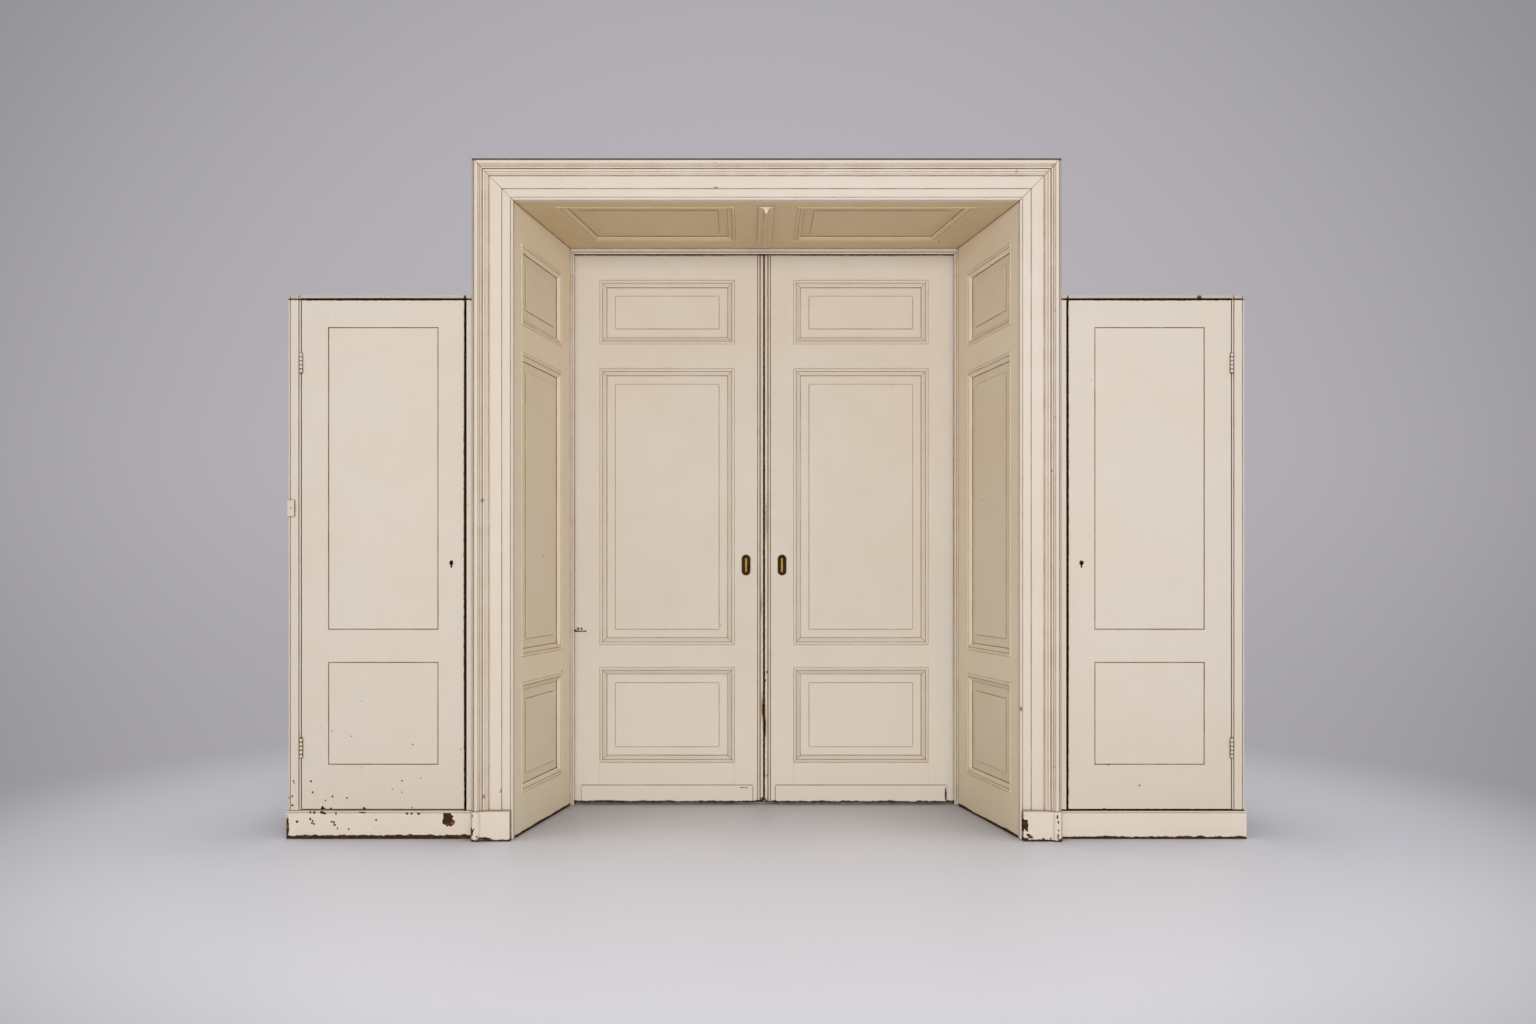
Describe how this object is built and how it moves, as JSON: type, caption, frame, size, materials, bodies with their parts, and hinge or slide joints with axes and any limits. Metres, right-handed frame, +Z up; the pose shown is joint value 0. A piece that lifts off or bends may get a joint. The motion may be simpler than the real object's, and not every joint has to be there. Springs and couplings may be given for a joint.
{
  "type": "en-suite room divider with sliding pocket doors and side cupboards",
  "caption": "Cream-painted panelled niche with sliding pocket doors, moulded architrave and hinged cupboards on both sides.",
  "frame": {"origin": "middle of the footprint, on the floor", "axes": "+X to the right seen from the front, +Y away from the viewer, +Z up"},
  "size_m": [3.594, 0.744, 2.54],
  "materials": {
    "cream_paint": "aged cream paint, satin",
    "bare_wood": "bare softwood",
    "brass": "aged brass",
    "painted_iron": "cream paint on iron",
    "steel": "dark worn steel"
  },
  "bodies": {
    "portal": {"architrave_left_leg": "cream_paint", "architrave_right_leg": "cream_paint", "architrave_head": "cream_paint", "plinth_blocks": "cream_paint", "opening_bead": "cream_paint", "left_reveal_frame": "cream_paint", "left_reveal_panels": "cream_paint", "left_reveal_mouldings": "cream_paint", "right_reveal_frame": "cream_paint", "right_reveal_panels": "cream_paint", "right_reveal_mouldings": "cream_paint", "soffit_frame": "cream_paint", "soffit_panels": "cream_paint", "soffit_mouldings": "cream_paint", "soffit_keel": "cream_paint", "stop_bead": "cream_paint", "posts": "bare_wood", "lintels": "bare_wood", "rear_casing": "cream_paint", "floor_rail": "steel", "pocket_buffers": "bare_wood", "left_cupboard_front": "cream_paint", "left_cupboard_boards": "bare_wood", "left_cupboard_shelves": "bare_wood", "right_cupboard_front": "cream_paint", "right_cupboard_boards": "bare_wood", "right_cupboard_shelves": "bare_wood", "skirting_boards": "cream_paint", "fixed_hinge_leaves": "painted_iron", "hinge_pins": "steel", "lock_keeps": "steel", "edge_plate": "painted_iron"},
    "left_leaf": {"left_leaf_frame": "cream_paint", "left_leaf_panels": "cream_paint", "left_leaf_mouldings": "cream_paint", "left_leaf_kick_board": "cream_paint", "left_leaf_pulls": "brass", "left_leaf_running_gear": "steel"},
    "left_leaf_outer_wheel": {"left_leaf_outer_wheel": "steel"},
    "left_leaf_inner_wheel": {"left_leaf_inner_wheel": "steel"},
    "left_cupboard_door": {"left_cupboard_door_frame": "cream_paint", "left_cupboard_door_panels": "cream_paint", "left_cupboard_door_hinge_leaves": "painted_iron", "left_cupboard_lock": "steel"},
    "left_lock_bolt": {"left_cupboard_lock_bolt": "steel"},
    "right_leaf": {"right_leaf_frame": "cream_paint", "right_leaf_panels": "cream_paint", "right_leaf_mouldings": "cream_paint", "right_leaf_kick_board": "cream_paint", "right_leaf_pulls": "brass", "right_leaf_running_gear": "steel"},
    "right_leaf_outer_wheel": {"right_leaf_outer_wheel": "steel"},
    "right_leaf_inner_wheel": {"right_leaf_inner_wheel": "steel"},
    "right_cupboard_door": {"right_cupboard_door_frame": "cream_paint", "right_cupboard_door_panels": "cream_paint", "right_cupboard_door_hinge_leaves": "painted_iron", "right_cupboard_lock": "steel"},
    "right_lock_bolt": {"right_cupboard_lock_bolt": "steel"}
  },
  "joints": [
    {"name": "left_leaf_slide", "type": "slide", "parent": "portal", "child": "left_leaf", "axis": [-1, 0, 0], "range_m": [0, 0.7]},
    {"name": "left_leaf_outer_wheel_spin", "type": "hinge", "parent": "left_leaf", "child": "left_leaf_outer_wheel", "pos_m": [-0.638, 0.323, 0.0343], "axis": [0, -1, 0], "range_deg": [0, 1590]},
    {"name": "left_leaf_inner_wheel_spin", "type": "hinge", "parent": "left_leaf", "child": "left_leaf_inner_wheel", "pos_m": [-0.197, 0.323, 0.0343], "axis": [0, -1, 0], "range_deg": [0, 1590]},
    {"name": "left_cupboard_door_hinge", "type": "hinge", "parent": "portal", "child": "left_cupboard_door", "pos_m": [-1.7455, -0.317, 1.061], "axis": [0, 0, -1], "range_deg": [0, 165]},
    {"name": "left_lock_bolt_slide", "type": "slide", "parent": "left_cupboard_door", "child": "left_lock_bolt", "axis": [1, 0, 0], "range_m": [0, 0.016]},
    {"name": "right_leaf_slide", "type": "slide", "parent": "portal", "child": "right_leaf", "axis": [1, 0, 0], "range_m": [0, 0.7]},
    {"name": "right_leaf_outer_wheel_spin", "type": "hinge", "parent": "right_leaf", "child": "right_leaf_outer_wheel", "pos_m": [0.638, 0.323, 0.0343], "axis": [0, 1, 0], "range_deg": [0, 1590]},
    {"name": "right_leaf_inner_wheel_spin", "type": "hinge", "parent": "right_leaf", "child": "right_leaf_inner_wheel", "pos_m": [0.197, 0.323, 0.0343], "axis": [0, 1, 0], "range_deg": [0, 1590]},
    {"name": "right_cupboard_door_hinge", "type": "hinge", "parent": "portal", "child": "right_cupboard_door", "pos_m": [1.7455, -0.317, 1.061], "axis": [0, 0, 1], "range_deg": [0, 165]},
    {"name": "right_lock_bolt_slide", "type": "slide", "parent": "right_cupboard_door", "child": "right_lock_bolt", "axis": [-1, 0, 0], "range_m": [0, 0.016]}
  ],
  "couplings": [
    {"joint": "left_leaf_outer_wheel_spin", "follows": "left_leaf_slide", "rad_per_m": 39.526},
    {"joint": "left_leaf_inner_wheel_spin", "follows": "left_leaf_slide", "rad_per_m": 39.526},
    {"joint": "right_leaf_outer_wheel_spin", "follows": "right_leaf_slide", "rad_per_m": 39.526},
    {"joint": "right_leaf_inner_wheel_spin", "follows": "right_leaf_slide", "rad_per_m": 39.526}
  ]
}
